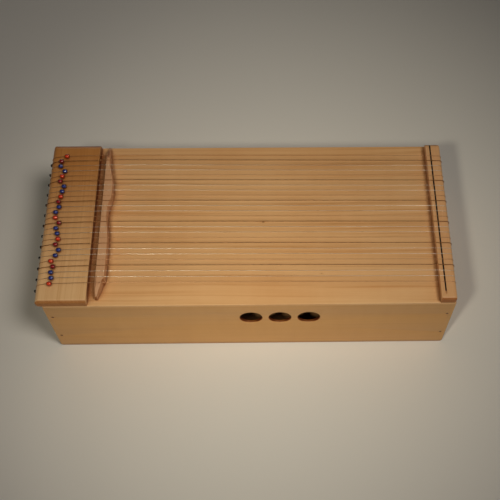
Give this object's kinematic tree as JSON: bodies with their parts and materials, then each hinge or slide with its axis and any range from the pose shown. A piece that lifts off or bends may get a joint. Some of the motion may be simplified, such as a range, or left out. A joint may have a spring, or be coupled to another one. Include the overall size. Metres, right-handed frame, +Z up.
{
  "type": "body monochord zither",
  "caption": "Long wooden resonator box with parallel strings over a bridge, turning tuning pins and sliding fine-tuning beads, played flat.",
  "frame": {"origin": "middle of the box's underside, on the surface it rests on", "axes": "+X along the strings from the tuning pins to the nut, +Y away from the player, +Z up"},
  "size_m": [0.6725, 0.306, 0.1654],
  "materials": {
    "soundboard_wood": "satin oil, straight grain",
    "case_wood": "satin oil",
    "back_wood": "satin oil",
    "rest_wood": "satin oil, grain across the box",
    "bridge_wood": "fine sanded, matt",
    "nut_wood": "satin oil",
    "blued_steel": "blued, semi-gloss",
    "string_metal": "bright wire",
    "bead_red": "high gloss",
    "bead_dark_red": "high gloss",
    "bead_blue": "high gloss"
  },
  "bodies": {
    "box": {"soundboard": "soundboard_wood", "back_board": "back_wood", "front_wall": "case_wood", "rear_wall": "case_wood", "pin_wall": "case_wood", "hitch_wall": "case_wood", "string_rest": "rest_wood", "bridge": "bridge_wood", "nut_block": "nut_wood", "strings_and_nut_rod": "string_metal"},
    "pin_01": {"tuning_pin_01": "blued_steel"},
    "bead_01": {"tuning_bead_01": "bead_red"},
    "pin_02": {"tuning_pin_02": "blued_steel"},
    "bead_02": {"tuning_bead_02": "bead_dark_red"},
    "pin_03": {"tuning_pin_03": "blued_steel"},
    "bead_03": {"tuning_bead_03": "bead_blue"},
    "pin_04": {"tuning_pin_04": "blued_steel"},
    "bead_04": {"tuning_bead_04": "bead_blue"},
    "pin_05": {"tuning_pin_05": "blued_steel"},
    "bead_05": {"tuning_bead_05": "bead_red"},
    "pin_06": {"tuning_pin_06": "blued_steel"},
    "bead_06": {"tuning_bead_06": "bead_dark_red"},
    "pin_07": {"tuning_pin_07": "blued_steel"},
    "bead_07": {"tuning_bead_07": "bead_blue"},
    "pin_08": {"tuning_pin_08": "blued_steel"},
    "bead_08": {"tuning_bead_08": "bead_blue"},
    "pin_09": {"tuning_pin_09": "blued_steel"},
    "bead_09": {"tuning_bead_09": "bead_red"},
    "pin_10": {"tuning_pin_10": "blued_steel"},
    "bead_10": {"tuning_bead_10": "bead_dark_red"},
    "pin_11": {"tuning_pin_11": "blued_steel"},
    "bead_11": {"tuning_bead_11": "bead_blue"},
    "pin_12": {"tuning_pin_12": "blued_steel"},
    "bead_12": {"tuning_bead_12": "bead_blue"},
    "pin_13": {"tuning_pin_13": "blued_steel"},
    "bead_13": {"tuning_bead_13": "bead_red"},
    "pin_14": {"tuning_pin_14": "blued_steel"},
    "bead_14": {"tuning_bead_14": "bead_dark_red"},
    "pin_15": {"tuning_pin_15": "blued_steel"},
    "bead_15": {"tuning_bead_15": "bead_blue"},
    "pin_16": {"tuning_pin_16": "blued_steel"},
    "bead_16": {"tuning_bead_16": "bead_blue"},
    "pin_17": {"tuning_pin_17": "blued_steel"},
    "bead_17": {"tuning_bead_17": "bead_red"},
    "pin_18": {"tuning_pin_18": "blued_steel"},
    "bead_18": {"tuning_bead_18": "bead_dark_red"},
    "pin_19": {"tuning_pin_19": "blued_steel"},
    "bead_19": {"tuning_bead_19": "bead_blue"},
    "pin_20": {"tuning_pin_20": "blued_steel"},
    "bead_20": {"tuning_bead_20": "bead_blue"},
    "pin_21": {"tuning_pin_21": "blued_steel"},
    "bead_21": {"tuning_bead_21": "bead_red"},
    "pin_22": {"tuning_pin_22": "blued_steel"},
    "bead_22": {"tuning_bead_22": "bead_dark_red"},
    "pin_23": {"tuning_pin_23": "blued_steel"},
    "bead_23": {"tuning_bead_23": "bead_blue"},
    "pin_24": {"tuning_pin_24": "blued_steel"},
    "bead_24": {"tuning_bead_24": "bead_blue"},
    "pin_25": {"tuning_pin_25": "blued_steel"},
    "bead_25": {"tuning_bead_25": "bead_red"}
  },
  "joints": [
    {"name": "turn_pin_01", "type": "hinge", "parent": "box", "child": "pin_01", "pos_m": [-0.325, 0.1257, 0.1305], "axis": [1, 0, 0], "continuous": true},
    {"name": "turn_pin_02", "type": "hinge", "parent": "box", "child": "pin_02", "pos_m": [-0.325, 0.1155, 0.118], "axis": [1, 0, 0], "continuous": true},
    {"name": "turn_pin_03", "type": "hinge", "parent": "box", "child": "pin_03", "pos_m": [-0.325, 0.1053, 0.1305], "axis": [1, 0, 0], "continuous": true},
    {"name": "turn_pin_04", "type": "hinge", "parent": "box", "child": "pin_04", "pos_m": [-0.325, 0.0951, 0.118], "axis": [1, 0, 0], "continuous": true},
    {"name": "turn_pin_05", "type": "hinge", "parent": "box", "child": "pin_05", "pos_m": [-0.325, 0.0849, 0.1305], "axis": [1, 0, 0], "continuous": true},
    {"name": "turn_pin_06", "type": "hinge", "parent": "box", "child": "pin_06", "pos_m": [-0.325, 0.0747, 0.118], "axis": [1, 0, 0], "continuous": true},
    {"name": "turn_pin_07", "type": "hinge", "parent": "box", "child": "pin_07", "pos_m": [-0.325, 0.0645, 0.1305], "axis": [1, 0, 0], "continuous": true},
    {"name": "turn_pin_08", "type": "hinge", "parent": "box", "child": "pin_08", "pos_m": [-0.325, 0.0543, 0.118], "axis": [1, 0, 0], "continuous": true},
    {"name": "turn_pin_09", "type": "hinge", "parent": "box", "child": "pin_09", "pos_m": [-0.325, 0.0441, 0.1305], "axis": [1, 0, 0], "continuous": true},
    {"name": "turn_pin_10", "type": "hinge", "parent": "box", "child": "pin_10", "pos_m": [-0.325, 0.0339, 0.118], "axis": [1, 0, 0], "continuous": true},
    {"name": "turn_pin_11", "type": "hinge", "parent": "box", "child": "pin_11", "pos_m": [-0.325, 0.0237, 0.1305], "axis": [1, 0, 0], "continuous": true},
    {"name": "turn_pin_12", "type": "hinge", "parent": "box", "child": "pin_12", "pos_m": [-0.325, 0.0135, 0.118], "axis": [1, 0, 0], "continuous": true},
    {"name": "turn_pin_13", "type": "hinge", "parent": "box", "child": "pin_13", "pos_m": [-0.325, 0.0033, 0.1305], "axis": [1, 0, 0], "continuous": true},
    {"name": "turn_pin_14", "type": "hinge", "parent": "box", "child": "pin_14", "pos_m": [-0.325, -0.0069, 0.118], "axis": [1, 0, 0], "continuous": true},
    {"name": "turn_pin_15", "type": "hinge", "parent": "box", "child": "pin_15", "pos_m": [-0.325, -0.0171, 0.1305], "axis": [1, 0, 0], "continuous": true},
    {"name": "turn_pin_16", "type": "hinge", "parent": "box", "child": "pin_16", "pos_m": [-0.325, -0.0273, 0.118], "axis": [1, 0, 0], "continuous": true},
    {"name": "turn_pin_17", "type": "hinge", "parent": "box", "child": "pin_17", "pos_m": [-0.325, -0.0375, 0.1305], "axis": [1, 0, 0], "continuous": true},
    {"name": "turn_pin_18", "type": "hinge", "parent": "box", "child": "pin_18", "pos_m": [-0.325, -0.0477, 0.118], "axis": [1, 0, 0], "continuous": true},
    {"name": "turn_pin_19", "type": "hinge", "parent": "box", "child": "pin_19", "pos_m": [-0.325, -0.0579, 0.1305], "axis": [1, 0, 0], "continuous": true},
    {"name": "turn_pin_20", "type": "hinge", "parent": "box", "child": "pin_20", "pos_m": [-0.325, -0.0681, 0.118], "axis": [1, 0, 0], "continuous": true},
    {"name": "turn_pin_21", "type": "hinge", "parent": "box", "child": "pin_21", "pos_m": [-0.325, -0.0783, 0.1305], "axis": [1, 0, 0], "continuous": true},
    {"name": "turn_pin_22", "type": "hinge", "parent": "box", "child": "pin_22", "pos_m": [-0.325, -0.0885, 0.118], "axis": [1, 0, 0], "continuous": true},
    {"name": "turn_pin_23", "type": "hinge", "parent": "box", "child": "pin_23", "pos_m": [-0.325, -0.0987, 0.1305], "axis": [1, 0, 0], "continuous": true},
    {"name": "turn_pin_24", "type": "hinge", "parent": "box", "child": "pin_24", "pos_m": [-0.325, -0.1089, 0.118], "axis": [1, 0, 0], "continuous": true},
    {"name": "turn_pin_25", "type": "hinge", "parent": "box", "child": "pin_25", "pos_m": [-0.325, -0.1191, 0.1305], "axis": [1, 0, 0], "continuous": true},
    {"name": "slide_bead_01", "type": "slide", "parent": "box", "child": "bead_01", "axis": [0.9989, 0, 0.0478], "range_m": [-0.002, 0.049]},
    {"name": "slide_bead_02", "type": "slide", "parent": "box", "child": "bead_02", "axis": [0.999, 0, 0.0449], "range_m": [-0.002, 0.057]},
    {"name": "slide_bead_03", "type": "slide", "parent": "box", "child": "bead_03", "axis": [0.9991, 0, 0.0427], "range_m": [-0.002, 0.0575]},
    {"name": "slide_bead_04", "type": "slide", "parent": "box", "child": "bead_04", "axis": [0.9989, 0, 0.0475], "range_m": [-0.002, 0.0495]},
    {"name": "slide_bead_05", "type": "slide", "parent": "box", "child": "bead_05", "axis": [0.999, 0, 0.0453], "range_m": [-0.002, 0.053]},
    {"name": "slide_bead_06", "type": "slide", "parent": "box", "child": "bead_06", "axis": [0.9989, 0, 0.0461], "range_m": [-0.002, 0.055]},
    {"name": "slide_bead_07", "type": "slide", "parent": "box", "child": "bead_07", "axis": [0.9988, 0, 0.0485], "range_m": [-0.002, 0.048]},
    {"name": "slide_bead_08", "type": "slide", "parent": "box", "child": "bead_08", "axis": [0.9989, 0, 0.0472], "range_m": [-0.002, 0.05]},
    {"name": "slide_bead_09", "type": "slide", "parent": "box", "child": "bead_09", "axis": [0.9989, 0, 0.0462], "range_m": [-0.002, 0.0515]},
    {"name": "slide_bead_10", "type": "slide", "parent": "box", "child": "bead_10", "axis": [0.9989, 0, 0.0467], "range_m": [-0.002, 0.054]},
    {"name": "slide_bead_11", "type": "slide", "parent": "box", "child": "bead_11", "axis": [0.9989, 0, 0.0459], "range_m": [-0.002, 0.052]},
    {"name": "slide_bead_12", "type": "slide", "parent": "box", "child": "bead_12", "axis": [0.9991, 0, 0.0433], "range_m": [-0.002, 0.0565]},
    {"name": "slide_bead_13", "type": "slide", "parent": "box", "child": "bead_13", "axis": [0.9991, 0, 0.0435], "range_m": [-0.002, 0.056]},
    {"name": "slide_bead_14", "type": "slide", "parent": "box", "child": "bead_14", "axis": [0.9988, 0, 0.0499], "range_m": [-0.002, 0.049]},
    {"name": "slide_bead_15", "type": "slide", "parent": "box", "child": "bead_15", "axis": [0.999, 0, 0.0453], "range_m": [-0.002, 0.053]},
    {"name": "slide_bead_16", "type": "slide", "parent": "box", "child": "bead_16", "axis": [0.9989, 0, 0.0472], "range_m": [-0.002, 0.05]},
    {"name": "slide_bead_17", "type": "slide", "parent": "box", "child": "bead_17", "axis": [0.9988, 0, 0.0489], "range_m": [-0.002, 0.0475]},
    {"name": "slide_bead_18", "type": "slide", "parent": "box", "child": "bead_18", "axis": [0.9988, 0, 0.0489], "range_m": [-0.002, 0.0505]},
    {"name": "slide_bead_19", "type": "slide", "parent": "box", "child": "bead_19", "axis": [0.9987, 0, 0.0511], "range_m": [-0.002, 0.0445]},
    {"name": "slide_bead_20", "type": "slide", "parent": "box", "child": "bead_20", "axis": [0.9988, 0, 0.0482], "range_m": [-0.002, 0.0485]},
    {"name": "slide_bead_21", "type": "slide", "parent": "box", "child": "bead_21", "axis": [0.999, 0, 0.0444], "range_m": [-0.002, 0.0545]},
    {"name": "slide_bead_22", "type": "slide", "parent": "box", "child": "bead_22", "axis": [0.9988, 0, 0.0489], "range_m": [-0.002, 0.0505]},
    {"name": "slide_bead_23", "type": "slide", "parent": "box", "child": "bead_23", "axis": [0.999, 0, 0.0456], "range_m": [-0.002, 0.0525]},
    {"name": "slide_bead_24", "type": "slide", "parent": "box", "child": "bead_24", "axis": [0.9989, 0, 0.0465], "range_m": [-0.002, 0.051]},
    {"name": "slide_bead_25", "type": "slide", "parent": "box", "child": "bead_25", "axis": [0.999, 0, 0.0453], "range_m": [-0.002, 0.053]}
  ]
}
